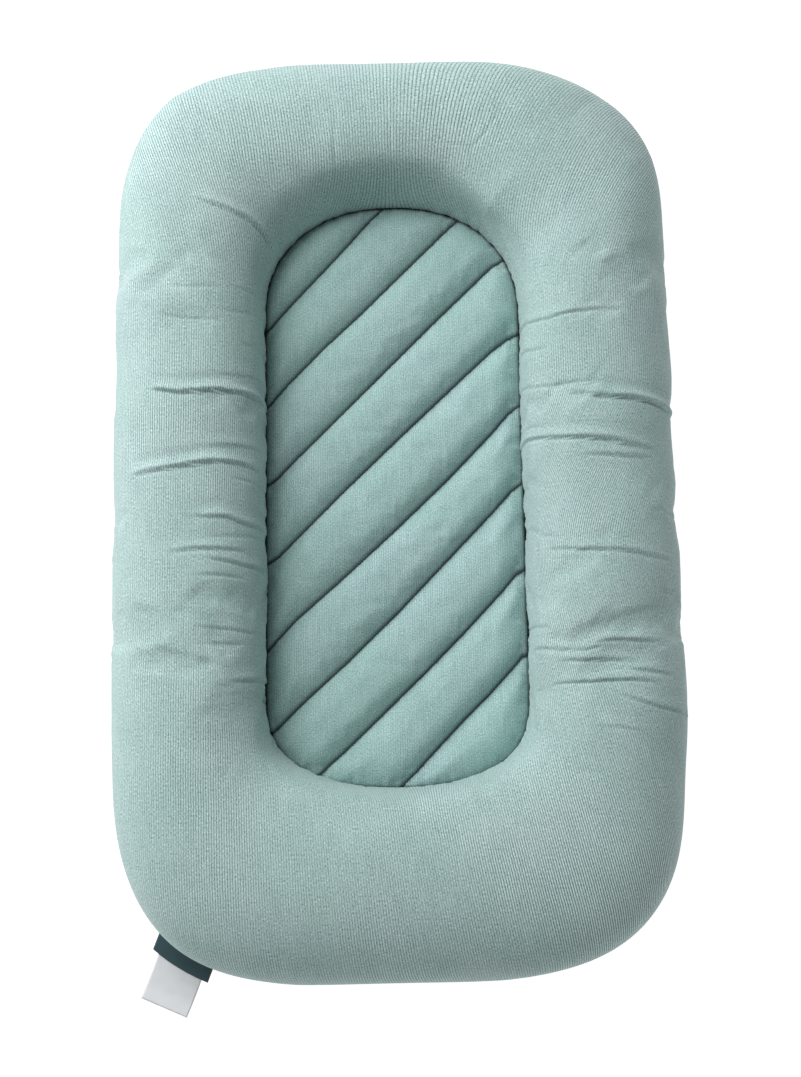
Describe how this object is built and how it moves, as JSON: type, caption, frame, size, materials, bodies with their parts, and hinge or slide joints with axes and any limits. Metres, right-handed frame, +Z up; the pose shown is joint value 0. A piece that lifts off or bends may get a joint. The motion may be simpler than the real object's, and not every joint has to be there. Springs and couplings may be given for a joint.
{
  "type": "infant lounger",
  "caption": "Long rounded lounger with a thick stuffed ring round a sunken pad, quilted in diagonal channels, in a removable zipped cover over a stuffed insert.",
  "frame": {"origin": "on the floor, under the middle of the box round the whole part with its label", "axes": "+Z up; +Y from the foot end to the head end; +X to the right for someone who looks down with the head end away from them"},
  "size_m": [0.4988, 0.8624, 0.1296],
  "materials": {
    "ribbed_knit": "sage green fine-rib knit with a light and dark fleck",
    "quilted_knit": "the same sage green knit, quilted over wadding",
    "sewing_thread": "polyester thread, a shade darker than the knit",
    "seam_binding": "bound seam allowance in sage green tape",
    "lining_cloth": "plain sage green woven cloth",
    "white_cloth": "undyed white cotton casing",
    "fibre": "white polyester fibre",
    "zip_nylon": "dyed nylon coil",
    "zip_metal": "nickel plated zinc",
    "dark_satin": "dark teal woven satin, left plain",
    "white_satin": "white satin ribbon, left plain"
  },
  "bodies": {
    "lounger": {"surround_cover": "ribbed_knit", "quilted_face": "quilted_knit", "quilt_wadding": "fibre", "quilt_backing": "lining_cloth", "pad_seam_binding": "seam_binding", "outer_seam_binding": "seam_binding", "underside_left": "lining_cloth", "underside_right": "lining_cloth", "zip_tape_left": "lining_cloth", "zip_tape_right": "lining_cloth", "zip_coil_left": "zip_nylon", "zip_coil_right": "zip_nylon", "zip_top_stop_left": "zip_metal", "zip_top_stop_right": "zip_metal", "zip_bottom_stop": "zip_metal", "label_band": "dark_satin", "care_label": "white_satin", "casing_top": "white_cloth", "casing_bottom": "white_cloth", "ring_fill": "fibre", "pad_core": "fibre", "quilt_stitch_1": "sewing_thread", "quilt_stitch_2": "sewing_thread", "quilt_stitch_3": "sewing_thread", "quilt_stitch_4": "sewing_thread", "quilt_stitch_5": "sewing_thread", "quilt_stitch_6": "sewing_thread", "quilt_stitch_7": "sewing_thread", "quilt_stitch_8": "sewing_thread"},
    "slider": {"zip_slider": "zip_metal"},
    "pull": {"zip_pull": "zip_metal"}
  },
  "joints": [
    {"name": "zip_slide", "type": "slide", "parent": "lounger", "child": "slider", "axis": [0, 1, 0], "range_m": [-0.421, 0]},
    {"name": "pull_hinge", "type": "hinge", "parent": "slider", "child": "pull", "pos_m": [0, 0.24282, 0.00275], "axis": [1, 0, 0], "range_deg": [0, 170]}
  ]
}
